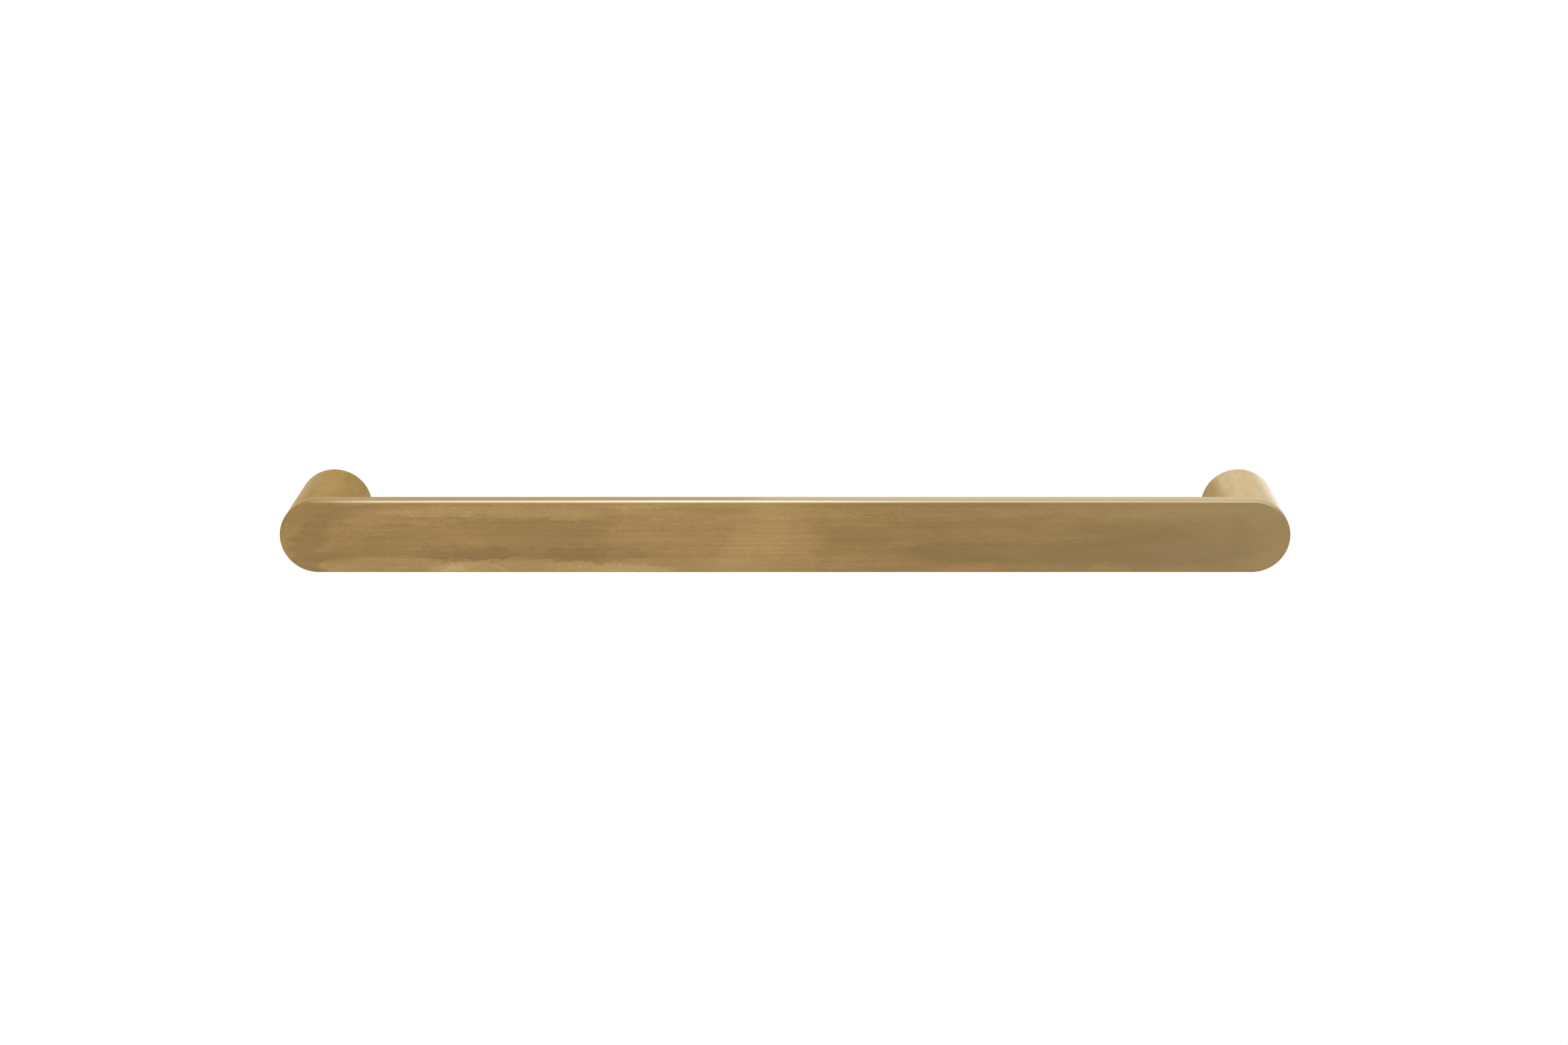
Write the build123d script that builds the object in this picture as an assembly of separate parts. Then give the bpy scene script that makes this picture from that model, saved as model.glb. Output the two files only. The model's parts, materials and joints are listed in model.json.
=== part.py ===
"""Single-bar electric towel rail with round wall posts.

A flat bar with round ends stands off the wall on two posts of its own height, each in line
with the bar's round end. The bar is a shallow shell, closed from behind by a plate. Inside,
a heating cable runs up and down a grooved aluminium strip that lies on the back of the face.
The cable's leads pass into the right-hand post, to a two-way terminal block. Each post
slides over a round bracket on the wall and is held by a grub screw from below.

Millimetres. The origin is on the wall, midway between the posts. +X runs to the right as
seen from the room, +Y into the wall and +Z up.
"""

import math
import os

from build123d import *

# The rail as it is seen from the room
post_spacing = 600.0  # between the axes of the two posts
rail_height = 48.0  # height of the bar, and diameter of its ends and of the posts
projection = 78.0  # from the wall to the front face
rail_depth = 9.0  # front face to back of the bar
edge_radius = 1.4  # round on the front edge
seam_chamfer = 0.06  # broken edge on each side of the joint of bar and post

# Front shell and the cover behind it
face_wall = 1.5
rim_wall = 2.5  # wall of the shell in front of the cover's seat
rim_lip = 1.4  # wall of the shell round the cover
cover_thickness = 1.5
cover_clearance = 0.1
boss_floor = 0.5  # metal left between a tapped hole and the pocket's floor
post_boss_radius = 4.5
cover_boss_radius = 3.0

# Posts
post_wall = 3.0
post_web = 4.0  # thickness of the closed front end
mouth_chamfer = 0.6
rear_edge_chamfer = 0.3

# Socket-head screws that hold the posts to the bar
m4_radius = 2.0
m4_head_radius = 3.5
m4_head_height = 4.0
m4_socket_width = 3.0
m4_socket_depth = 2.0
post_screw_length = 10.0
post_screw_count = 3
post_screw_room = 1.5  # between a screw head and the post's bore
lock_washer_thickness = 0.8
lock_washer_slit = 0.7
thread_clearance = 0.02
hole_clearance = 0.2

# Countersunk screws that hold the cover to the shell
m3_radius = 1.5
m3_head_radius = 2.8
m3_recess = 0.05  # how far the head lies under the cover's face
m3_socket_width = 2.0
m3_socket_depth = 0.9
cover_screw_length = 5.5
cover_screw_count = 4

# Heating cable and the strip that carries it
heater_radius = 1.5
middle_turn_radius = 6.0
strip_base = 1.2
strip_side_gap = 1.5  # strip to rim
strip_land = 4.0  # outermost cable line to the strip's edge
channel_clearance = 0.05
channel_wall = 1.05
channel_lip = 1.0  # height of the lips over the cable's centre
left_loop_room = 28.0  # left post axis to the strip's end
right_loop_room = 67.0  # right post axis to the strip's end
loop_lead_out = 1.5  # straight run of cable between the strip and a loop
boss_hole_clearance = 0.3
pad_length = 14.0
pad_side_gap = 1.0

# Leads, their joints to the heating cable, and the thermal cutout
lead_radius = 1.1
splice_radius = 2.3
splice_length = 22.0
splice_grip = 6.0  # how deep each end is held
splice_bore_clearance = 0.05
splice_chamfer = 0.7
neutral_splice_offset = 2.0  # strip's end to the neutral joint
cutout_length = 20.0
cutout_width = 7.5
cutout_height = 3.6
cutout_corner = 0.8
cutout_tail = 4.0  # live joint to the cutout
live_joint_gap = 4.0  # end of the shortened channel to the live joint
live_joint_room = 0.8  # joint to the edge of its notch in the strip
lead_pitch = 2.4  # between the two leads in their grommet
lead_slant = 10.0  # length along the bar over which the leads close up
lead_slant_radius = 8.0
lead_turn_radius = 4.4
lead_rise_radius = 4.4
lead_fan_radius = 4.0
lead_block_gap = 0.8

# Grommet that takes the leads through the end of the right-hand post
lead_grommet_bore = 2.45
lead_grommet_neck = 3.6
lead_grommet_flange = 4.8
lead_grommet_front = 1.2
lead_grommet_rear = 1.0
lead_grommet_room = 1.2  # rear flange to the post's bore
cover_window_clearance = 0.4

# Terminal block
pole_pitch = 8.0
pole_count = 2
block_length = 15.0
block_base_height = 8.9
block_height = 13.4
block_floor = 2.6
block_corner = 1.0
block_gap = 1.5  # to the lead grommet
turret_radius = 2.8
turret_bore = 1.9
turret_offset = 4.2  # from the block's middle, along the wires
clamp_length = 12.4
clamp_width = 4.0
clamp_height = 4.8
clamp_bore = 1.5
clamp_clearance = 0.05
entry_radius = 1.7
clamp_screw_radius = 1.25
clamp_screw_head = 1.7
clamp_screw_head_height = 1.6
clamp_screw_slot = 0.6
clamp_screw_slot_depth = 0.8
clamp_screw_shank = 2.2  # from under the head to the top of the clamp
fixing_screw_length = 11.7
fixing_head_radius = 2.5
fixing_head_height = 1.8
fixing_slot = 0.8
fixing_slot_depth = 0.9
fixing_bore_clearance = 0.1

# Earth screw on the web of the right-hand post
earth_screw_angle = 60.0
earth_screw_length = 5.0
earth_head_radius = 3.5
earth_head_height = 2.4
earth_slot = 1.0
earth_slot_depth = 1.2
earth_washer_radius = 3.5
earth_washer_thickness = 0.8
earth_cup_thickness = 0.8
earth_cup_lip = 0.6

# Wall brackets and the grub screws that hold the posts on them
bracket_clearance = 0.3
bracket_depth = 12.0
bracket_base = 3.0
bracket_wall = 3.3
bracket_chamfer = 0.8
wall_screw_pitch = 25.0
wall_slot_length = 8.0
wall_slot_radius = 2.5
grub_from_wall = 7.0
groove_depth = 1.5
grub_tip_radius = 0.5
grub_seat_clearance = 0.05
grub_recess = 0.4
grub_socket_width = 2.0
grub_socket_depth = 1.6

# Grommet for the supply cable, in the right-hand bracket
supply_bore = 3.7
supply_neck = 6.0
supply_flange_back = 8.0
supply_flange_front = 7.5
supply_flange_thickness = 1.2
supply_front_thickness = 1.6
supply_nose_radius = 5.0
supply_nose_length = 4.4
supply_recess_clearance = 0.2

# Levels along Y, from the room to the wall
front_y = -projection
floor_y = front_y + face_wall
back_y = front_y + rail_depth
seat_y = back_y - cover_thickness
web_y = back_y + post_web
wall_y = 0.0

# Radii and places that follow from the sizes above
end_radius = rail_height / 2
pocket_radius = end_radius - rim_wall
post_x = post_spacing / 2
bore_radius = end_radius - post_wall
post_screw_circle = bore_radius - m4_head_radius - post_screw_room
cover_screw_pitch = post_spacing / (cover_screw_count + 1)
cover_screw_x = [
    (i - (cover_screw_count - 1) / 2) * cover_screw_pitch for i in range(cover_screw_count)
]
bracket_radius = bore_radius - bracket_clearance
bracket_cup_radius = bracket_radius - bracket_wall
grub_y = wall_y - grub_from_wall

# Cable lines: one pair of runs each side of the bar's middle line
strip_half_width = pocket_radius - strip_side_gap
outer_line = strip_half_width - strip_land
inner_line = middle_turn_radius
end_turn_radius = (outer_line - inner_line) / 2
cable_y = floor_y + strip_base + heater_radius
strip_left = -post_x + left_loop_room
strip_right = post_x - right_loop_room

# Live side: joint, tail and cutout lie on the strip, past the end of a shortened channel
cutout_right = strip_right
cutout_left = cutout_right - cutout_length
live_splice_right = cutout_left - cutout_tail
live_splice_left = live_splice_right - splice_length
short_channel_end = live_splice_left - live_joint_gap
neutral_splice_left = strip_right + neutral_splice_offset
neutral_splice_right = neutral_splice_left + splice_length

# Right-hand post: lead grommet, block and the height at which the wires enter it
lead_x = post_x - (bore_radius - lead_grommet_flange - lead_grommet_room)
block_left = lead_x + lead_grommet_flange + block_gap
block_x = block_left + block_length / 2
clamp_floor_y = web_y + block_floor + clamp_clearance
entry_y = clamp_floor_y + clamp_height / 2
pole_z = [(i - (pole_count - 1) / 2) * pole_pitch for i in range(pole_count)]


def slab(outline, front, back):
    """An outline drawn as (X, Z), made solid from y = front to y = back."""
    return extrude(Plane.XZ.offset(-back) * outline, back - front)


def disc(radius, x, z, front, back):
    """A round solid along Y."""
    return slab(Pos(x, z) * Circle(radius), front, back)


def turned(profile):
    """A turned solid from (radius, height) points, with its axis along +Y from the origin."""
    return revolve(make_face(Polyline(*profile, close=True)), Axis.Y)


def hex_socket(width, depth):
    """The solid to take out of a screw head at the origin, going down along -Y."""
    return slab(RegularPolygon(width / 2, 6, major_radius=False), -depth, 0)


def stadium(radius):
    """The bar's outline, with round ends of the radius about the post axes."""
    return SlotCenterToCenter(post_spacing, 2 * radius)


def post_screw_places(side):
    """(X, Z) of the screws of one post. The side is -1 for left and 1 for right."""
    places = []
    for i in range(post_screw_count):
        angle = math.radians(360 * i / post_screw_count)
        across = post_screw_circle * math.cos(angle)
        up = post_screw_circle * math.sin(angle)
        places.append((side * (post_x + across), up))
    return places


def rail_shell():
    """Face, rim and screw bosses in one piece, with a seat for the cover."""
    shell = slab(stadium(end_radius), front_y, back_y)
    shell = fillet(shell.faces().sort_by(Axis.Y)[0].edges(), edge_radius)
    shell = chamfer(shell.faces().sort_by(Axis.Y)[-1].edges(), seam_chamfer)
    shell -= slab(stadium(pocket_radius), floor_y, back_y)
    shell -= slab(stadium(end_radius - rim_lip), seat_y, back_y)
    for x, z in post_screw_places(-1) + post_screw_places(1):
        shell += disc(post_boss_radius, x, z, floor_y, seat_y)
        shell -= disc(m4_radius, x, z, floor_y + boss_floor, seat_y)
    for x in cover_screw_x:
        shell += disc(cover_boss_radius, x, 0, floor_y, seat_y)
        shell -= disc(m3_radius, x, 0, floor_y + boss_floor, seat_y)
    return shell


def rail_back_cover():
    """Plate let into the shell from behind, under the posts' ends."""
    cover = slab(stadium(end_radius - rim_lip - cover_clearance), seat_y, back_y)
    for x, z in post_screw_places(-1) + post_screw_places(1):
        cover -= disc(m4_radius + hole_clearance, x, z, seat_y, back_y)
    for x in cover_screw_x:
        cover -= Pos(x, back_y, 0) * countersink()
    cover -= disc(lead_grommet_flange + cover_window_clearance, lead_x, 0, seat_y, back_y)
    return cover


def countersink():
    """The screw hole and its countersink, going down along -Y from the cover's face."""
    shank = m3_radius + hole_clearance / 2
    head = m3_head_radius + m3_recess
    return turned(
        [
            (0, 0),
            (head, 0),
            (shank, shank - head),
            (shank, -cover_thickness),
            (0, -cover_thickness),
        ]
    )


def cover_screw():
    """Countersunk screw with its head's face at the origin and its shank along -Y."""
    shank = m3_radius - thread_clearance
    cone = m3_head_radius - shank
    screw = turned(
        [
            (0, 0),
            (m3_head_radius, 0),
            (shank, -cone),
            (shank, -cover_screw_length),
            (0, -cover_screw_length),
        ]
    )
    return screw - hex_socket(m3_socket_width, m3_socket_depth)


def cover_screws():
    return [Pos(x, back_y - m3_recess, 0) * cover_screw() for x in cover_screw_x]


def heat_strip():
    """Aluminium strip with a snap-in channel along each run of the heating cable."""
    height = strip_base + heater_radius + channel_lip
    half_channel = heater_radius + channel_clearance + channel_wall
    section = Pos(0, strip_base / 2) * Rectangle(2 * strip_half_width, strip_base)
    for z in (-outer_line, -inner_line, inner_line, outer_line):
        section += Pos(z, height / 2) * Rectangle(2 * half_channel, height)
    for z in (-outer_line, -inner_line, inner_line, outer_line):
        section -= Pos(z, strip_base + heater_radius) * Circle(heater_radius + channel_clearance)
    across = Plane(origin=(strip_left, floor_y, 0), x_dir=(0, 0, -1), z_dir=(1, 0, 0))
    strip = extrude(across * section, strip_right - strip_left)
    flat_edge = -outer_line + max(half_channel, cutout_width / 2) + channel_clearance
    clearing = Pos((short_channel_end + strip_right) / 2, (flat_edge - pocket_radius) / 2)
    clearing *= Rectangle(strip_right - short_channel_end, pocket_radius + flat_edge)
    strip -= slab(clearing, floor_y + strip_base, seat_y)
    for x in cover_screw_x:
        hole = cover_boss_radius + boss_hole_clearance
        strip -= disc(hole, x, 0, floor_y, seat_y)
    return strip - slab(live_joint_notch(), floor_y, seat_y)


def live_joint_notch():
    """Outline of the notch in the strip's edge for the live joint, which is thicker than the cable."""
    right = live_splice_right + live_joint_room
    edge = -outer_line + splice_radius + live_joint_room
    middle = Pos((short_channel_end + right) / 2, (edge - pocket_radius) / 2)
    return middle * Rectangle(right - short_channel_end, pocket_radius + edge)


def tube_along(path, radius):
    """A round tube or wire along a path of straight runs and arcs."""
    start = Plane(origin=path @ 0, z_dir=path % 0)
    return sweep(start * Circle(radius), path)


def heating_cable():
    """Four runs in the strip's channels, with two loops at the left end and one at the right."""
    left_x = strip_left - loop_lead_out
    right_x = strip_right + loop_lead_out
    neutral_end = neutral_splice_left + splice_grip
    live_end = live_splice_left + splice_grip

    def loop(x, z, radius, way):
        ends = [(x, cable_y, z + radius), (x + way * radius, cable_y, z), (x, cable_y, z - radius)]
        return ThreePointArc(*ends)

    def run(x0, x1, z):
        return Line((x0, cable_y, z), (x1, cable_y, z))

    pair_middle = (outer_line + inner_line) / 2
    path = Wire(
        [
            run(neutral_end, left_x, outer_line),
            loop(left_x, pair_middle, end_turn_radius, -1),
            run(left_x, right_x, inner_line),
            loop(right_x, 0, middle_turn_radius, 1),
            run(right_x, left_x, -inner_line),
            loop(left_x, -pair_middle, end_turn_radius, -1),
            run(left_x, live_end, -outer_line),
        ]
    )
    return tube_along(path, heater_radius)


def pressure_pads():
    """Silicone blocks that the cover presses on the cable, between the cover's screws."""
    pads = []
    for x in cover_screw_x:
        outline = Pos(x - cover_screw_pitch / 2, 0)
        outline *= Rectangle(pad_length, 2 * (strip_half_width - pad_side_gap))
        pads.append(slab(outline, cable_y + heater_radius, seat_y))
    return pads


def splice_sleeve(x, z):
    """Crimped joint of a lead and the heating cable, from x to the right."""
    cable = heater_radius + splice_bore_clearance
    lead = lead_radius + splice_bore_clearance
    far = splice_length
    sleeve = turned(
        [
            (0, splice_grip),
            (cable, splice_grip),
            (cable, 0),
            (splice_radius - splice_chamfer / 2, 0),
            (splice_radius, splice_chamfer),
            (splice_radius, far - splice_chamfer),
            (splice_radius - splice_chamfer, far),
            (lead, far),
            (lead, far - splice_grip),
            (0, far - splice_grip),
        ]
    )
    return Pos(x, cable_y, z) * Rot(Z=-90) * sleeve


def thermal_cutout():
    """Flat bimetal cutout in its case, lying on the strip beside the heating cable."""
    low = floor_y + strip_base
    outline = Pos((cutout_left + cutout_right) / 2, -outer_line)
    outline *= RectangleRounded(cutout_length, cutout_width, cutout_corner)
    case = slab(outline, low, low + cutout_height)
    return chamfer(case.faces().sort_by(Axis.Y)[-1].edges(), cutout_corner / 2)


def cutout_tail_wire():
    """Short wire from the live joint to the cutout."""
    length = splice_grip + cutout_tail
    wire = turned([(0, 0), (lead_radius, 0), (lead_radius, length), (0, length)])
    return Pos(live_splice_right - splice_grip, cable_y, -outer_line) * Rot(Z=-90) * wire


def lead(start_x, side):
    """A lead from the bar to the terminal block. The side is 1 above the middle, -1 below."""
    slant_end = lead_x - lead_slant
    close_z = side * lead_pitch / 2
    block_end = block_x - turret_offset + clamp_screw_radius
    pole = side * abs(pole_z[0])
    points = [
        (start_x, cable_y, side * outer_line),
        (slant_end - lead_slant, cable_y, side * outer_line),
        (slant_end, cable_y, close_z),
        (lead_x, cable_y, close_z),
        (lead_x, entry_y, close_z),
        (block_left - lead_block_gap, entry_y, pole),
        (block_end, entry_y, pole),
    ]
    radii = [
        lead_slant_radius,
        lead_slant_radius,
        lead_turn_radius,
        lead_rise_radius,
        lead_fan_radius,
    ]
    return tube_along(FilletPolyline(*points, radius=radii).wire(), lead_radius)


def lead_grommet():
    """Silicone grommet, held by the post's web, with its front flange in the cover's window."""
    grommet = turned(
        [
            (lead_grommet_bore, -lead_grommet_front),
            (lead_grommet_flange, -lead_grommet_front),
            (lead_grommet_flange, 0),
            (lead_grommet_neck, 0),
            (lead_grommet_neck, post_web),
            (lead_grommet_flange, post_web),
            (lead_grommet_neck, post_web + lead_grommet_rear),
            (lead_grommet_bore, post_web + lead_grommet_rear),
        ]
    )
    return Pos(lead_x, back_y, 0) * grommet


def post(side):
    """Turned brass cup. Its closed end is screwed to the bar, and its mouth meets the wall."""
    body = turned(
        [
            (0, back_y),
            (end_radius - seam_chamfer, back_y),
            (end_radius, back_y + seam_chamfer),
            (end_radius, wall_y - rear_edge_chamfer),
            (end_radius - rear_edge_chamfer, wall_y),
            (bore_radius + mouth_chamfer, wall_y),
            (bore_radius, wall_y - mouth_chamfer),
            (bore_radius, web_y),
            (0, web_y),
        ]
    )
    body = Pos(side * post_x, 0, 0) * body
    for x, z in post_screw_places(side):
        body -= disc(m4_radius + hole_clearance, x, z, back_y, web_y)
    grub_hole = Plane.XY.offset(-end_radius) * Pos(side * post_x, grub_y) * Circle(m4_radius)
    return body - extrude(grub_hole, 2 * post_wall)


def right_post():
    """The right-hand post also has holes for the lead grommet, the block and the earth screw."""
    body = post(1)
    body -= disc(lead_grommet_neck, lead_x, 0, back_y, web_y)
    body -= disc(m3_radius, block_x, 0, back_y, web_y)
    x, z = earth_screw_place()
    return body - disc(m4_radius, x, z, back_y, web_y)


def socket_screw():
    """Socket-head screw with its bearing face at the origin and its shank along -Y."""
    shank = m4_radius - thread_clearance
    edge = m4_socket_width / 10
    screw = turned(
        [
            (0, m4_head_height),
            (m4_head_radius - edge, m4_head_height),
            (m4_head_radius, m4_head_height - edge),
            (m4_head_radius, 0),
            (shank, 0),
            (shank, edge - post_screw_length),
            (shank - edge, -post_screw_length),
            (0, -post_screw_length),
        ]
    )
    return screw - Pos(0, m4_head_height, 0) * hex_socket(m4_socket_width, m4_socket_depth)


def post_screws(side):
    seat = web_y + lock_washer_thickness
    return [Pos(x, seat, z) * socket_screw() for x, z in post_screw_places(side)]


def lock_washers(side):
    """Split spring washers under the screw heads."""
    washers = []
    for x, z in post_screw_places(side):
        inner = m4_radius + hole_clearance / 2
        ring = disc(m4_head_radius, x, z, web_y, web_y + lock_washer_thickness)
        ring -= disc(inner, x, z, web_y, web_y + lock_washer_thickness)
        slit = Pos(x + side * m4_head_radius / 2, z) * Rectangle(m4_head_radius, lock_washer_slit)
        washers.append(ring - slab(slit, web_y, web_y + lock_washer_thickness))
    return washers


def terminal_block():
    """Moulded two-way block with its base on the post's web and its screws facing the wall."""
    width = pole_pitch * pole_count
    top = web_y + block_base_height
    block = slab(Pos(block_x, 0) * RectangleRounded(block_length, width, block_corner), web_y, top)
    for z in pole_z:
        for x in (block_x - turret_offset, block_x + turret_offset):
            block += disc(turret_radius, x, z, web_y, web_y + block_height)
            block -= disc(turret_bore, x, z, clamp_floor_y + clamp_height, web_y + block_height)
        pocket = Pos(block_x, z)
        pocket *= Rectangle(clamp_length + 2 * clamp_clearance, clamp_width + 2 * clamp_clearance)
        pocket_low = web_y + block_floor
        block -= slab(pocket, pocket_low, pocket_low + clamp_height + 2 * clamp_clearance)
        entry = Plane(origin=(block_left, entry_y, z), z_dir=(1, 0, 0)) * Circle(entry_radius)
        block -= extrude(entry, block_length)
    return block - disc(m3_radius + fixing_bore_clearance, block_x, 0, web_y, top)


def terminal_clamps():
    """Brass clamps, bored for the wires and tapped for two screws each."""
    clamps = []
    for z in pole_z:
        outline = Pos(block_x, z) * Rectangle(clamp_length, clamp_width)
        clamp = slab(outline, clamp_floor_y, clamp_floor_y + clamp_height)
        left = block_x - clamp_length / 2
        bore = Plane(origin=(left, entry_y, z), z_dir=(1, 0, 0)) * Circle(clamp_bore)
        clamp -= extrude(bore, clamp_length)
        for x in (block_x - turret_offset, block_x + turret_offset):
            clamp -= disc(clamp_screw_radius, x, z, entry_y, clamp_floor_y + clamp_height)
        clamps.append(clamp)
    return clamps


def slotted_screw(head, head_height, shank, length, slot, slot_depth):
    """Slotted screw with its bearing face at the origin and its shank along -Y."""
    screw = turned(
        [
            (0, head_height),
            (head - slot_depth / 2, head_height),
            (head, head_height - slot_depth / 2),
            (head, 0),
            (shank, 0),
            (shank, -length),
            (0, -length),
        ]
    )
    return screw - slab(Rectangle(3 * head, slot), head_height - slot_depth, head_height)


def clamp_screws():
    """Screws that press the leads in the clamps, and stand open on the supply side."""
    clamp_top = clamp_floor_y + clamp_height
    bearing = clamp_top + clamp_screw_shank
    screws = []
    for z in pole_z:
        for x, tip in (
            (block_x - turret_offset, entry_y + lead_radius),
            (block_x + turret_offset, entry_y + clamp_bore),
        ):
            shank = clamp_screw_radius - thread_clearance
            screw = slotted_screw(
                clamp_screw_head,
                clamp_screw_head_height,
                shank,
                bearing - tip,
                clamp_screw_slot,
                clamp_screw_slot_depth,
            )
            screws.append(Pos(x, bearing, z) * screw)
    return screws


def block_screw():
    """Screw that holds the block to the web, between the two poles."""
    shank = m3_radius - thread_clearance
    screw = slotted_screw(
        fixing_head_radius, fixing_head_height, shank, fixing_screw_length, fixing_slot, fixing_slot_depth
    )
    return Pos(block_x, web_y + block_base_height, 0) * screw


def earth_screw_place():
    """(X, Z) of the earth screw, on the circle of the post's own screws."""
    angle = math.radians(earth_screw_angle)
    return post_x + post_screw_circle * math.cos(angle), post_screw_circle * math.sin(angle)


def earth_washers():
    """Flat washer on the web, and over it a cupped one that holds the earth core."""
    x, z = earth_screw_place()
    inner = m4_radius + hole_clearance / 2
    flat = disc(earth_washer_radius, x, z, web_y, web_y + earth_washer_thickness)
    flat -= disc(inner, x, z, web_y, web_y + earth_washer_thickness)
    cup = turned(
        [
            (inner, earth_cup_lip),
            (earth_washer_radius - earth_cup_thickness, earth_cup_lip),
            (earth_washer_radius - earth_cup_thickness, 0),
            (earth_washer_radius, 0),
            (earth_washer_radius, earth_cup_lip + earth_cup_thickness),
            (inner, earth_cup_lip + earth_cup_thickness),
        ]
    )
    return [flat, Pos(x, web_y + earth_washer_thickness, z) * cup]


def earth_screw():
    x, z = earth_screw_place()
    seat = web_y + earth_washer_thickness + earth_cup_lip + earth_cup_thickness
    shank = m4_radius - thread_clearance
    screw = slotted_screw(
        earth_head_radius, earth_head_height, shank, earth_screw_length, earth_slot, earth_slot_depth
    )
    return Pos(x, seat, z) * screw


def wall_bracket(side):
    """Turned cup, screwed to the wall through two slots. The grub screw seats in its groove."""
    groove_floor = bracket_radius - groove_depth
    front = wall_y - bracket_depth
    bracket = turned(
        [
            (0, wall_y - bracket_base),
            (bracket_cup_radius, wall_y - bracket_base),
            (bracket_cup_radius, front),
            (bracket_radius - bracket_chamfer, front),
            (bracket_radius, front + bracket_chamfer),
            (bracket_radius, grub_y - groove_depth),
            (groove_floor, grub_y),
            (bracket_radius, grub_y + groove_depth),
            (bracket_radius, wall_y),
            (0, wall_y),
        ]
    )
    bracket = Pos(side * post_x, 0, 0) * bracket
    for z in (-wall_screw_pitch / 2, wall_screw_pitch / 2):
        slot = Pos(side * post_x, z) * SlotOverall(wall_slot_length, 2 * wall_slot_radius)
        bracket -= slab(slot, wall_y - bracket_base, wall_y)
    return bracket


def right_wall_bracket():
    """The right-hand bracket also holds the grommet of the supply cable."""
    recess = wall_y - supply_flange_thickness
    bracket = wall_bracket(1) - disc(supply_neck, post_x, 0, wall_y - bracket_base, wall_y)
    return bracket - disc(supply_flange_back + supply_recess_clearance, post_x, 0, recess, wall_y)


def supply_grommet():
    """Silicone grommet with a tapered nose, for the supply cable that comes out of the wall."""
    base = wall_y - bracket_base
    grommet = turned(
        [
            (supply_bore, wall_y),
            (supply_flange_back, wall_y),
            (supply_flange_back, wall_y - supply_flange_thickness),
            (supply_neck, wall_y - supply_flange_thickness),
            (supply_neck, base),
            (supply_flange_front, base),
            (supply_flange_front, base - supply_front_thickness / 2),
            (supply_neck, base - supply_front_thickness),
            (supply_nose_radius, base - supply_front_thickness - supply_nose_length),
            (supply_bore, base - supply_front_thickness - supply_nose_length),
        ]
    )
    return Pos(post_x, 0, 0) * grommet


def grub_screw(side):
    """Socket set screw with a cone point, from below the post into the bracket's groove."""
    shank = m4_radius - thread_clearance
    tip = bracket_radius - groove_depth + grub_tip_radius + grub_seat_clearance
    shoulder = tip + shank - grub_tip_radius
    head = end_radius - grub_recess
    screw = turned(
        [(0, -head), (shank, -head), (shank, -shoulder), (grub_tip_radius, -tip), (0, -tip)]
    )
    socket = Pos(0, -head, 0) * Rot(X=180) * hex_socket(grub_socket_width, grub_socket_depth)
    return Pos(side * post_x, grub_y, 0) * Rot(X=90) * (screw - socket)


def write(name, made):
    """Writes one sub-part, which may be several like pieces."""
    pieces = made if isinstance(made, list) else [made]
    solids = [solid for piece in pieces for solid in piece.solids()]
    export_step(Compound(solids) if len(solids) > 1 else solids[0], f"parts/{name}.step")


def main():
    os.makedirs("parts", exist_ok=True)
    write("rail_shell", rail_shell())
    write("rail_back_cover", rail_back_cover())
    write("cover_screws", cover_screws())
    write("heat_strip", heat_strip())
    write("heating_cable", heating_cable())
    write("pressure_pads", pressure_pads())
    write("neutral_splice", splice_sleeve(neutral_splice_left, outer_line))
    write("live_splice", splice_sleeve(live_splice_left, -outer_line))
    write("thermal_cutout", thermal_cutout())
    write("cutout_tail", cutout_tail_wire())
    write("neutral_lead", lead(neutral_splice_right - splice_grip, 1))
    write("live_lead", lead(cutout_right, -1))
    write("lead_grommet", lead_grommet())
    write("left_post", post(-1))
    write("right_post", right_post())
    write("left_post_screws", post_screws(-1))
    write("right_post_screws", post_screws(1))
    write("left_lock_washers", lock_washers(-1))
    write("right_lock_washers", lock_washers(1))
    write("terminal_block", terminal_block())
    write("terminal_clamps", terminal_clamps())
    write("clamp_screws", clamp_screws())
    write("block_screw", block_screw())
    write("earth_washers", earth_washers())
    write("earth_screw", earth_screw())
    write("left_wall_bracket", wall_bracket(-1))
    write("right_wall_bracket", right_wall_bracket())
    write("supply_grommet", supply_grommet())
    write("left_grub_screw", grub_screw(-1))
    write("right_grub_screw", grub_screw(1))


main()
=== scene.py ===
"""Looks of a single-bar electric towel rail in brushed brass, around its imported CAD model.

Metres, in the CAD frame: X along the bar, the wall at Y = 0, the room towards -Y and Z up.
"""

import json
import math

import bmesh
import bpy
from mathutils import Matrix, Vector


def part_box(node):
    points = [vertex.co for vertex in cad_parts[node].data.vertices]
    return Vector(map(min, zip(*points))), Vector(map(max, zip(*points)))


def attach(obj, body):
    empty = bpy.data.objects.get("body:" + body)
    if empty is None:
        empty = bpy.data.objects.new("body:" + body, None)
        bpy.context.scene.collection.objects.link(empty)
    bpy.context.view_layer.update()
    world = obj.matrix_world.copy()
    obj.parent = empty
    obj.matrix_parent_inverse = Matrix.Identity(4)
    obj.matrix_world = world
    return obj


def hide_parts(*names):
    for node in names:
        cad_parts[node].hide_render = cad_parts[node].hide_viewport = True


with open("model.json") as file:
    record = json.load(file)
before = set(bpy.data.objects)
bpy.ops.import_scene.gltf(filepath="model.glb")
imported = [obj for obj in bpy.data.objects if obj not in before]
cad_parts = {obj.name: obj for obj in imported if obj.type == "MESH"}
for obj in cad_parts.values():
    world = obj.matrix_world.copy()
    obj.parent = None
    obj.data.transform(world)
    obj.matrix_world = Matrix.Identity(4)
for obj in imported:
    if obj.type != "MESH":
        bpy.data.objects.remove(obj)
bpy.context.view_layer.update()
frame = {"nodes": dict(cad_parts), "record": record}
nodes = frame["nodes"]
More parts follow.
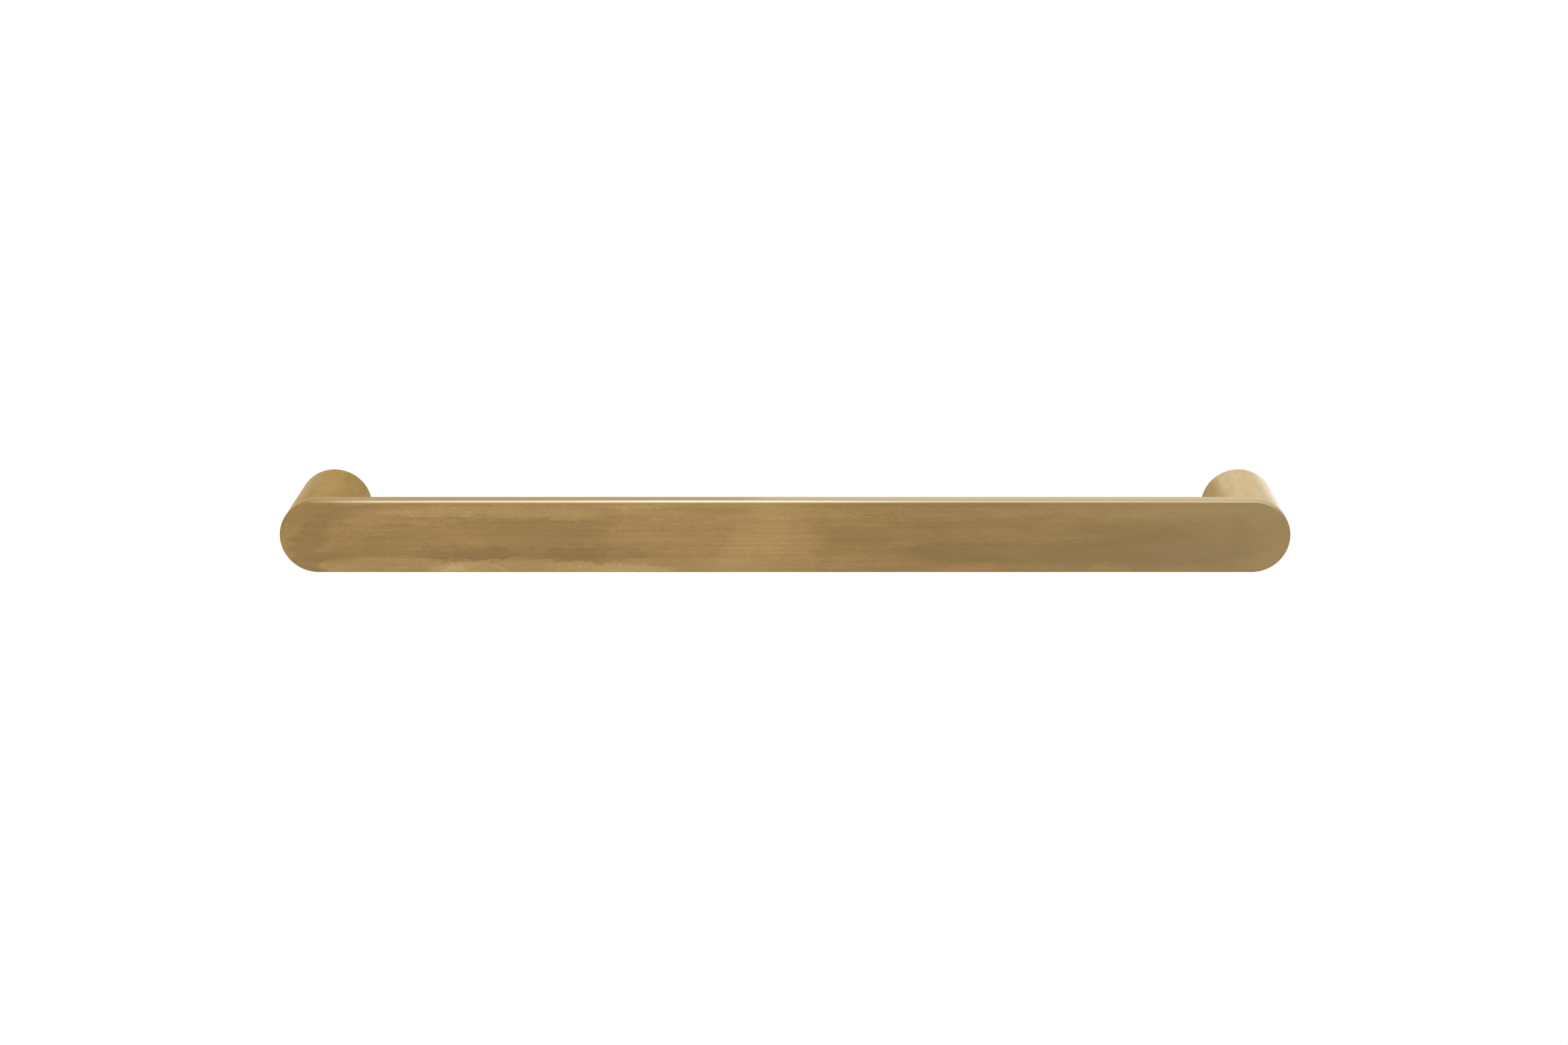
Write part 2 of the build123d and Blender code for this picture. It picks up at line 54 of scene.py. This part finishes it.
MM = 0.001

# The camera stands a little above and right of the bar, as in the photograph. The tilt is in
# degrees, the lens and the sensor are in mm
CAMERA_PLACE = (0.025, -1.8839, 0.5255)
CAMERA_TILT = 15.947
CAMERA_LENS = 67.39
CAMERA_SENSOR = 36.0
CAMERA_SHIFT = -0.02555


def make_camera():
    data = bpy.data.cameras.new("Camera")
    data.sensor_width = CAMERA_SENSOR
    data.lens = CAMERA_LENS
    data.shift_x = CAMERA_SHIFT
    camera = bpy.data.objects.new("Camera", data)
    camera.location = CAMERA_PLACE
    camera.rotation_euler = (math.radians(90 - CAMERA_TILT), 0, 0)
    bpy.context.scene.collection.objects.link(camera)
    bpy.context.scene.camera = camera


make_camera()


class Wire:
    """An output of a node tree. Arithmetic on it adds Math nodes to the tree."""

    def __init__(self, tree, socket):
        self.tree = tree
        self.socket = socket

    def math(self, operation, *values):
        return self.tree.node("Math", {"operation": operation}, dict(enumerate(values)))

    def __add__(self, other):
        return self.math("ADD", self, other)

    def __sub__(self, other):
        return self.math("SUBTRACT", self, other)

    def __rsub__(self, other):
        return self.math("SUBTRACT", other, self)

    def __mul__(self, other):
        return self.math("MULTIPLY", self, other)

    def __truediv__(self, other):
        return self.math("DIVIDE", self, other)

    def __rtruediv__(self, other):
        return self.math("DIVIDE", other, self)

    def __pow__(self, other):
        return self.math("POWER", self, other)

    def __rpow__(self, other):
        return self.math("POWER", other, self)

    def __abs__(self):
        return self.math("ABSOLUTE", self)

    __radd__ = __add__
    __rmul__ = __mul__


class Tree:
    """A node tree, with one method for every node that isn't plain arithmetic."""

    def __init__(self, owner):
        owner.use_nodes = True
        self.nodes = owner.node_tree.nodes
        self.links = owner.node_tree.links

    def node(self, kind, settings=None, inputs=None, output=0):
        made = self.nodes.new("ShaderNode" + kind)
        for key, value in (settings or {}).items():
            if key == "stops":
                self.set_stops(made.color_ramp, value)
            else:
                setattr(made, key, value)
        for key, value in (inputs or {}).items():
            self.feed(made.inputs[key], value)
        return Wire(self, made.outputs[output])

    def set_stops(self, ramp, stops):
        while len(ramp.elements) < len(stops):
            ramp.elements.new(0.5)
        for element, (position, colour) in zip(ramp.elements, stops):
            element.position = position
            element.color = (*colour, 1.0)

    def feed(self, socket, value):
        if isinstance(value, Wire):
            self.links.new(value.socket, socket)
        elif socket.type == "RGBA":
            socket.default_value = (*value, 1.0)
        else:
            socket.default_value = value

    def place(self, stretch=(1.0, 1.0, 1.0)):
        """Where a point is on the object, in metres, each way times its stretch."""
        here = self.node("TexCoord", output="Object")
        return self.node("VectorMath", {"operation": "MULTIPLY"}, {0: here, 1: stretch})

    def coordinate(self, way):
        here = self.node("TexCoord", output="Object")
        return self.node("SeparateXYZ", inputs={0: here}, output=way)

    def noise(self, stretch, detail=3.0, roughness=0.5, distortion=0.0):
        inputs = {
            "Vector": self.place(stretch),
            "Scale": 1.0,
            "Detail": detail,
            "Roughness": roughness,
            "Distortion": distortion,
        }
        return self.node("TexNoise", inputs=inputs)

    def ramp(self, value, *stops):
        return self.node("ValToRGB", {"stops": stops}, {0: value})

    def mix(self, share, low, high):
        return self.node("Mix", {"data_type": "RGBA"}, {0: share, 6: low, 7: high}, 2)

    def span(self, value, low, high, to_low=0.0, to_high=1.0):
        """The value's range from low to high, eased into another range, with no overshoot."""
        inputs = {"Value": value, 1: low, 2: high, 3: to_low, 4: to_high}
        return self.node("MapRange", {"interpolation_type": "SMOOTHSTEP"}, inputs)

    def bump(self, height, distance):
        return self.node("Bump", inputs={"Height": height, "Strength": 1.0, "Distance": distance})


class Finish(Tree):
    """A material, started with the values that are the same all over it."""

    def __init__(self, name, **constants):
        self.material = bpy.data.materials.new(name)
        super().__init__(self.material)
        self.shader = self.nodes["Principled BSDF"]
        self.set(**constants)

    def set(self, **values):
        for key, value in values.items():
            self.feed(self.shader.inputs[key.replace("_", " ")], value)


# The brass, from dark to pale, its burnished edge with its painted highlight, its brightest brush
# marks as painted glints and its dull end, the posts' painted light and painted highlight,
# and the tints that it takes where it is seen at a low angle
BRASS_DARK = (0.256, 0.163, 0.0635)
BRASS = (0.325, 0.2, 0.0725)
BRASS_PALE = (0.43, 0.277, 0.108)
BRASS_BURNISH_HIGHLIGHT = (0.6, 0.49, 0.32)
BRASS_GLINT = (0.6, 0.44, 0.21)
BRASS_DULL = (0.32, 0.23, 0.108)
SATIN_LIT = (0.42, 0.318, 0.113)
SATIN_HIGHLIGHT = (0.66, 0.52, 0.21)
BRASS_GRAZING = (1.0, 0.9, 0.58)
SATIN_GRAZING = (0.88, 0.74, 0.46)
LACQUER = {"Metallic": 1.0, "Coat_Roughness": 0.14}
FACE_LACQUER = 0.27
BURNISHED_ROUGH = 0.28
BRUSH_DEPTH = 0.01 * MM
SKIN_DEPTH = 0.02 * MM

# The bar's edge: its round, the broken edge at the joint with the posts, and how finely its mesh
# is made. Steps are for a half circle and a quarter round, and the sharp angle is in degrees
EDGE_ROUND = 1.4 * MM
JOINT_BREAK = 0.06 * MM
END_STEPS = 60
EDGE_STEPS = 12
SHARP_FROM = 25
FACE_SLACK = 0.1 * MM
SAME_PLACE = 0.001 * MM

# Painted reflections: cloudy lighter and darker places on the bar's face, in mm: middle (X, Z),
# half width and height, the share of these inside the fade, and how much paler the place is
FACE_PAINTED_REFLECTIONS = (
    (-238, 14, 44, 7.5, 0.5, 0.075),
    (-185, 16, 76, 5.5, 0.6, 0.06),
    (-90, 17, 180, 6.5, 0.6, 0.06),
    (230, 18, 110, 7, 0.3, 0.04),
    (-8, -12, 32, 36, 0.3, 0.05),
    (-42, -10, 76, 48, 0.1, 0.065),
    (-150, -24.5, 84, 9.8, 0.8, 0.11),
    (-198, -24.5, 26, 9, 0.6, 0.07),
    (-130, -24.5, 30, 9, 0.6, 0.04),
    (-70, -23, 70, 9, 0.3, 0.03),
    (-250, -22, 50, 10, 0.4, 0.13),
    (-205, -11, 34, 6, 0.5, -0.09),
    (-125, -11.5, 34, 6, 0.5, -0.09),
    (-160, -12, 78, 4, 0.4, -0.03),
    (-302, -8, 12, 26, 0.3, -0.085),
    (-320, 0, 10, 20, 0.3, 0.04),
    (-263, -3, 12, 9, 0.3, -0.03),
    (40, -6, 28, 20, 0.3, -0.03),
    (190, -10.5, 132, 9, 0.65, -0.13),
    (200, 4, 155, 12, 0.3, -0.058),
    (200, -21, 140, 5, 0.3, -0.02),
    (60, 21, 110, 2.2, 0.4, -0.035),
    (314, 2, 16, 22, 0.3, 0.05),
    (262, -8, 60, 20, 0.4, -0.09),
    (192, -11, 32, 8, 0.4, -0.05),
    (124, -22.5, 15, 5, 0.2, 0.05),
    (208, -22.5, 15, 5, 0.2, 0.07),
    (258, -22.5, 17, 5, 0.2, 0.07),
    (-140, 22, 190, 2.6, 0.5, 0.05),
)


def spread(tree, x, z, cloud):
    """One cloudy place of painted reflection: its full strength inside, nothing outside."""
    middle_x, middle_z, half_width, half_height, full, strength = cloud
    across = (x - middle_x) / half_width
    across = across * across
    up = (z - middle_z) / half_height
    return tree.span(across * across + up * up, full * full, 1.0, strength, 0.0)


def upper_edge(tree):
    """1 on the round of the bar's upper edge, which is burnished smooth and carries a painted highlight,
    fading towards its ends.
    """
    low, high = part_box("rail_shell")
    round_start = high.z - EDGE_ROUND
    straight_end = high.x - high.z
    along = tree.coordinate("X")
    height = tree.coordinate("Z")
    beyond = tree.node("Math", {"operation": "MAXIMUM"}, {0: abs(along) - straight_end, 1: 0.0})
    radius = (beyond * beyond + height * height) ** 0.5
    # The painted highlight is a little wider and brighter to the left of the bar's middle
    wider = tree.span(along, 20 * MM, 120 * MM, 0.15 * EDGE_ROUND, 0.0)
    highlight_brightness = tree.span(along, 20 * MM, 100 * MM, 1.0, 0.86)
    outer = tree.span(radius + wider, round_start - 0.2 * EDGE_ROUND, round_start + 0.2 * EDGE_ROUND)
    front = tree.span(tree.coordinate("Y"), low.y + 0.38 * EDGE_ROUND, low.y + 0.68 * EDGE_ROUND, 1.0, 0.0)
    upper = tree.span(height, 0.0, 0.5 * high.z)
    left = tree.span(along, -straight_end - 12 * MM, -straight_end + 48 * MM)
    right = tree.span(along, straight_end + 6 * MM, straight_end + 22 * MM, 1.0, 0.0)
    return outer * front * upper * left * right * highlight_brightness


def brushed_brass():
    """Short, slightly wavy brush marks along the bar, under a soft, cloudy painted sheen of reflections.
    """
    finish = Finish("Brushed brass", Specular_Tint=BRASS_GRAZING, **LACQUER)
    # Brush marks, longer ones, a slow drift of tone, ragged borders and fine specks
    marks = finish.noise((230, 1500, 1500), detail=3.0, roughness=0.6)
    long_marks = finish.noise((12, 850, 850), detail=3.0, roughness=0.55)
    drift = finish.noise((22, 85, 85), detail=2.0, distortion=0.4)
    ragged = finish.noise((150, 480, 480), detail=5.0, roughness=0.7)
    speck = finish.noise((1500, 1700, 1700), detail=1.0, roughness=0.8)
    # A point's place on the face in mm, moved a little by the noise, so that no painted reflection has a
    # neat edge
    x = finish.coordinate("X") / MM + (drift - 0.5) * 50
    z = finish.coordinate("Z") / MM + (drift - 0.5) * 7 + (ragged - 0.5) * 13
    low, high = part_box("rail_shell")
    end = high.x / MM
    # Painted sheen: lighter and darker patches of reflected light summed into the face's tone
    painted_sheen = 0.0
    for cloud in FACE_PAINTED_REFLECTIONS:
        painted_sheen = spread(finish, x, z, cloud) + painted_sheen
    # The brightest brush marks, painted as glints where the painted sheen is strong
    painted_glints = finish.span(marks, 0.55, 0.75) * finish.span(painted_sheen + ragged * 0.2, 0.18, 0.32, 0.01, 0.14)
    grain = marks * 0.18 + long_marks * 0.22 + drift * 0.28 + ragged * 0.14 + speck * 0.32 - 0.07
    # 1 on the bar's edge and 0 on its face
    rim = finish.span(finish.coordinate("Y"), low.y + 0.5 * EDGE_ROUND, low.y + EDGE_ROUND)
    # The edge's tone is raised as painted light, and only faintly at its left end
    tone = grain + painted_sheen + painted_glints + rim * finish.span(x, 9 - end, 39 - end, 0.02, 0.09)
    stops = (0.34, BRASS_DARK), (0.5, BRASS), (0.7, BRASS_PALE), (0.95, BRASS_GLINT)
    brushed = finish.ramp(tone, *stops)
    # The brass gets duller towards the right-hand end
    dulled = finish.span(x, 80, end + 6, 0.0, 0.6) * finish.span(marks + drift, 0.8, 1.2, 0.5, 1.1)
    brushed = finish.mix(dulled, brushed, BRASS_DULL)
    # The burnished edge is painted pale, partly real burnish and partly a painted highlight of the
    # overhead lamp
    burnish_and_highlight = upper_edge(finish)
    colour = finish.mix(burnish_and_highlight, brushed, BRASS_BURNISH_HIGHLIGHT)
    rough = finish.span(marks * 0.5 + drift * 0.5, 0.3, 0.7, 0.34, 0.42)
    rough = rough * (1 - burnish_and_highlight) + BURNISHED_ROUGH * burnish_and_highlight
    scratches = marks * (1 - burnish_and_highlight)
    # The lacquer is thinner on the edge's left end and thicker on its right half
    thin = rim * finish.span(x, 9 - end, 34 - end, 0.24, 0.0)
    thick = rim * finish.span(x, -80, 60, 0.0, 0.18)
    finish.set(Base_Color=colour, Roughness=rough, Coat_Weight=FACE_LACQUER - thin + thick)
    finish.set(Normal=finish.bump(scratches, BRUSH_DEPTH))
    return finish.material


def satin_brass():
    """The posts: the same brass, brushed lengthwise, with faint clouds. The right one is painted paler as
    painted light, with more lacquer and a painted highlight on its shoulder, and both are darker on their
    inner flanks as painted shade."""
    finish = Finish("Satin brass", Specular_Tint=SATIN_GRAZING, **LACQUER)
    # Clouds, lengthwise stripes, brush marks and fine specks
    clouds = finish.noise((96, 35, 96), detail=3.0, roughness=0.6, distortion=0.35)
    stripes = finish.noise((150, 12, 150), detail=3.0, roughness=0.6)
    marks = finish.noise((1500, 180, 1500), detail=3.0, roughness=0.6)
    speck = finish.noise((1700, 1500, 1700), detail=1.0, roughness=0.8)
    # Places in mm, from the right-hand post's axis
    low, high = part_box("right_post")
    post_axis = (low.x + high.x) / 2
    x = finish.coordinate("X")
    across = (x - post_axis) / MM
    height = finish.coordinate("Z") / MM
    # Painted shade: both posts are darker on their inner flanks
    inner_flank_shade = finish.span((abs(x) - post_axis) / MM, -22, -7, 0.17, 0.0)
    tone = clouds * 0.5 + stripes * 0.3 + marks * 0.18 + speck * 0.3 - 0.07 - inner_flank_shade
    colour = finish.ramp(tone, (0.34, BRASS_DARK), (0.46, BRASS), (0.6, BRASS_PALE))
    # Painted light: the right post is paler towards its right side, with a painted highlight on its
    # shoulder
    shoulder_highlight = finish.span(across, 6, 17) * finish.span(height, 4, 11)
    colour = finish.mix(finish.span(across, -30, 4, 0.0, 0.5), colour, SATIN_LIT)
    colour = finish.mix(shoulder_highlight * 0.5, colour, SATIN_HIGHLIGHT)
    wear = clouds * 0.6 + stripes * 0.4
    lacquer = finish.span(across, -26, -10, 0.13, 0.6) - finish.span(across, -10, 4, 0.0, 0.1)
    lacquer = (lacquer + shoulder_highlight * 0.2) * finish.span(wear, 0.35, 0.62, 0.68, 1.04)
    rough = finish.span(clouds, 0.3, 0.7, 0.34, 0.44)
    finish.set(Base_Color=colour, Roughness=rough, Coat_Weight=lacquer)
    finish.set(Normal=finish.bump(marks, BRUSH_DEPTH))
    return finish.material


def turned_metal(name, dark, light):
    """Bare metal with fine tool marks square to its axis, and faint stains."""
    finish = Finish(name, Metallic=1.0)
    marks = finish.noise((40, 2500, 40), detail=3.0, roughness=0.6)
    stains = finish.noise((160, 160, 160), detail=4.0, roughness=0.6)
    colour = finish.ramp(marks * 0.5 + stains * 0.5, (0.35, dark), (0.65, light))
    rough = finish.span(stains, 0.3, 0.7, 0.25, 0.4)
    finish.set(Base_Color=colour, Roughness=rough, Normal=finish.bump(marks, BRUSH_DEPTH))
    return finish.material


def drawn_metal(name, dark, light):
    """Extruded or rolled metal, with die lines along the bar."""
    finish = Finish(name, Metallic=1.0)
    lines = finish.noise((6, 1300, 1300), detail=5.0, roughness=0.65)
    stains = finish.noise((50, 120, 120), detail=3.0)
    colour = finish.ramp(lines * 0.7 + stains * 0.3, (0.38, dark), (0.62, light))
    rough = finish.span(lines, 0.3, 0.7, 0.3, 0.45)
    finish.set(Base_Color=colour, Roughness=rough, Normal=finish.bump(lines, BRUSH_DEPTH))
    return finish.material


def moulded(name, dark, light, coat=0.0):
    """Plastic, silicone or insulation, with a fine moulded skin and slight unevenness of colour."""
    finish = Finish(name, Metallic=0.0, Coat_Weight=coat)
    skin = finish.noise((900, 900, 900), detail=3.0, roughness=0.6)
    uneven = finish.noise((70, 70, 70), detail=3.0, roughness=0.5)
    colour = finish.ramp(skin * 0.35 + uneven * 0.65, (0.35, dark), (0.65, light))
    rough = finish.span(skin, 0.3, 0.7, 0.45, 0.6)
    finish.set(Base_Color=colour, Roughness=rough, Normal=finish.bump(skin, SKIN_DEPTH))
    return finish.material


FINISHES = {
    "brushed_brass": brushed_brass(),
    "satin_brass": satin_brass(),
    "brass_screw": turned_metal("Brass screw", (0.3, 0.19, 0.08), (0.5, 0.35, 0.16)),
    "bare_brass": turned_metal("Bare brass", (0.5, 0.34, 0.12), (0.7, 0.52, 0.22)),
    "zinc_steel": turned_metal("Zinc-plated steel", (0.42, 0.43, 0.45), (0.62, 0.63, 0.64)),
    "black_steel": turned_metal("Blackened steel", (0.02, 0.02, 0.023), (0.07, 0.07, 0.075)),
    "mill_aluminium": drawn_metal("Mill aluminium", (0.6, 0.61, 0.62), (0.78, 0.79, 0.8)),
    "turned_aluminium": turned_metal("Turned aluminium", (0.5, 0.51, 0.52), (0.7, 0.71, 0.72)),
    "heater_silicone": moulded("Red-brown silicone", (0.26, 0.03, 0.018), (0.38, 0.06, 0.035)),
    "pad_silicone": moulded("Grey silicone", (0.36, 0.36, 0.34), (0.48, 0.48, 0.46)),
    "grommet_silicone": moulded("Pale silicone", (0.5, 0.48, 0.44), (0.66, 0.64, 0.6)),
    "crimp_sleeve": moulded("Black sleeve", (0.018, 0.018, 0.018), (0.04, 0.04, 0.04)),
    "cutout_case": drawn_metal("Tinned case", (0.42, 0.42, 0.41), (0.58, 0.58, 0.56)),
    "blue_insulation": moulded("Blue insulation", (0.02, 0.08, 0.36), (0.03, 0.13, 0.48)),
    "brown_insulation": moulded("Brown insulation", (0.11, 0.04, 0.016), (0.18, 0.07, 0.03)),
    "block_nylon": moulded("White nylon", (0.66, 0.65, 0.6), (0.78, 0.77, 0.73), coat=0.1),
}


def dress_cad_nodes():
    slots = {part["node"]: part["material_slot"] for part in frame["record"]["subparts"]}
    for name, node in nodes.items():
        node.data.materials.clear()
        node.data.materials.append(FINISHES[slots[name]])


dress_cad_nodes()


def stadium_loop(shape, straight_end, radius, y):
    """A ring of corners round the bar: two half circles about the straight part's ends."""
    corners = []
    for side in (1, -1):
        for step in range(END_STEPS + 1):
            turn = math.pi * (step / END_STEPS - 0.5)
            place = (side * (straight_end + radius * math.cos(turn)), y, side * radius * math.sin(turn))
            corners.append(shape.verts.new(place))
    return corners


def outside_profile(low, high):
    """The section of the bar's outside: radius and Y, from the face round to the joint with the posts."""
    profile = []
    for step in range(EDGE_STEPS + 1):
        turn = 0.5 * math.pi * step / EDGE_STEPS
        radius = high.z - EDGE_ROUND * (1 - math.sin(turn))
        profile.append((radius, low.y + EDGE_ROUND * (1 - math.cos(turn))))
    return profile + [(high.z, high.y - JOINT_BREAK), (high.z - JOINT_BREAK, high.y)]


def is_outside(face, straight_end, low, high):
    """Whether a face of the shell belongs to its front, its edge or its rear rim."""
    middle = face.calc_center_median()
    radius = math.hypot(max(abs(middle.x) - straight_end, 0), middle.z)
    return radius > high.z - EDGE_ROUND + FACE_SLACK or middle.y < low.y + FACE_SLACK


def finer_shell():
    """The rail's shell with its round ends and front edge in fine steps. Its inside stays as it is."""
    low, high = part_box("rail_shell")
    straight_end = high.x - high.z
    shape = bmesh.new()
    shape.from_mesh(nodes["rail_shell"].data)
    bmesh.ops.remove_doubles(shape, verts=shape.verts, dist=SAME_PLACE)
    outside = [face for face in shape.faces if is_outside(face, straight_end, low, high)]
    bmesh.ops.delete(shape, geom=outside, context="FACES")
    rim = [edge for edge in shape.edges if edge.is_boundary]
    rings = [stadium_loop(shape, straight_end, *point) for point in outside_profile(low, high)]
    shape.faces.new(rings[0])
    for ring, after in zip(rings, rings[1:]):
        for i in range(len(ring)):
            shape.faces.new((ring[i - 1], ring[i], after[i], after[i - 1]))
    rim += [shape.edges.get((rings[-1][i - 1], rings[-1][i])) for i in range(len(rings[-1]))]
    bmesh.ops.triangle_fill(shape, edges=rim, use_beauty=True)
    bmesh.ops.recalc_face_normals(shape, faces=shape.faces)
    mesh = bpy.data.meshes.new("rail_shell_fine")
    shape.to_mesh(mesh)
    shape.free()
    return mesh


def add_finer_shell():
    mesh = finer_shell()
    if "custom_normal" in mesh.attributes:
        mesh.attributes.remove(mesh.attributes["custom_normal"])
    mesh.shade_smooth()
    mesh.set_sharp_from_angle(angle=math.radians(SHARP_FROM))
    mesh.materials.clear()
    mesh.materials.append(FINISHES["brushed_brass"])
    shell = bpy.data.objects.new("rail_shell_fine", mesh)
    bpy.context.scene.collection.objects.link(shell)
    weighted = shell.modifiers.new("Even normals", "WEIGHTED_NORMAL")
    weighted.keep_sharp = True
    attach(shell, "root")
    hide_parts("rail_shell")


add_finer_shell()


# Studio: a white background, a floor that fades into it, and five soft lamps
WORLD_FILL = 0.55
FLOOR_LEVEL = -0.9
FLOOR_RADIUS = 6.0
FLOOR_STEPS = 96
FADE_START = 0.45
FADE_END = 0.95
WHITE = (1.0, 1.0, 1.0)
FLOOR_GREY = (0.86, 0.86, 0.86)
FLOOR_PALE = (0.9, 0.9, 0.9)
FACE_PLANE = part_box("rail_shell")[0].y


def make_world():
    world = bpy.data.worlds.new("Studio")
    bpy.context.scene.world = world
    tree = Tree(world)
    seen = tree.node("LightPath", output="Is Camera Ray")
    seen = seen + tree.node("LightPath", output="Is Glossy Ray")
    seen = seen + tree.node("LightPath", output="Is Transmission Ray")
    background = tree.nodes["Background"]
    tree.feed(background.inputs["Color"], WHITE)
    tree.feed(background.inputs["Strength"], tree.span(seen, 0.0, 1.0, WORLD_FILL, 1.0))


def make_floor():
    """A pale round floor that fades to white away from the part."""
    mesh = bpy.data.meshes.new("Floor")
    shape = bmesh.new()
    bmesh.ops.create_circle(shape, cap_ends=True, radius=FLOOR_RADIUS, segments=FLOOR_STEPS)
    shape.to_mesh(mesh)
    shape.free()
    floor = bpy.data.objects.new("Floor", mesh)
    floor.location = (0, 0, FLOOR_LEVEL)
    bpy.context.scene.collection.objects.link(floor)
    finish = Finish("Pale floor", Roughness=0.9)
    distance = finish.node("VectorMath", {"operation": "LENGTH"}, {0: finish.place()}, "Value")
    grain = finish.noise((40, 40, 40))
    finish.set(Base_Color=finish.ramp(grain, (0.3, FLOOR_GREY), (0.7, FLOOR_PALE)))
    white = finish.node("Emission", inputs={"Color": WHITE, "Strength": 1.0})
    plain = Wire(finish, finish.shader.outputs[0])
    fade = finish.span(distance, FADE_START, FADE_END)
    blend = finish.node("MixShader", inputs={0: fade, 1: plain, 2: white})
    finish.feed(finish.nodes["Material Output"].inputs["Surface"], blend)
    mesh.materials.append(finish.material)


def softbox(name, place, target, size, power):
    """A rectangular lamp at a place, turned to its target. Size is its width and height in metres,
    and power is in watts."""
    data = bpy.data.lights.new(name, "AREA")
    data.shape = "RECTANGLE"
    data.size, data.size_y = size
    data.energy = power
    lamp = bpy.data.objects.new(name, data)
    lamp.location = place
    lamp.visible_camera = False
    lamp.rotation_euler = (Vector(target) - Vector(place)).to_track_quat("-Z", "Y").to_euler()
    bpy.context.scene.collection.objects.link(lamp)


make_world()
make_floor()
softbox("Overhead strip", (-0.07, -0.34, 0.65), (-0.07, FACE_PLANE, 0), (0.07, 0.5), 0.88)
softbox("Overhead softbox", (-0.05, -0.4, 1.2), (-0.05, FACE_PLANE, 0), (1.1, 1.4), 2.3)
softbox("Rear strip", (0.205, 0.4, 0.14), (0.15, -0.05, 0), (0.47, 0.07), 0.087)
softbox("Right rear strip", (0.44, 0.4, 0.0), (0.3, -0.05, 0), (0.09, 0.21), 0.02)
softbox("Left front softbox", (-0.35, -1.3, 0.8), (-0.1, FACE_PLANE, 0), (0.8, 0.6), 1.2)

bpy.context.scene.view_settings.view_transform = "Standard"
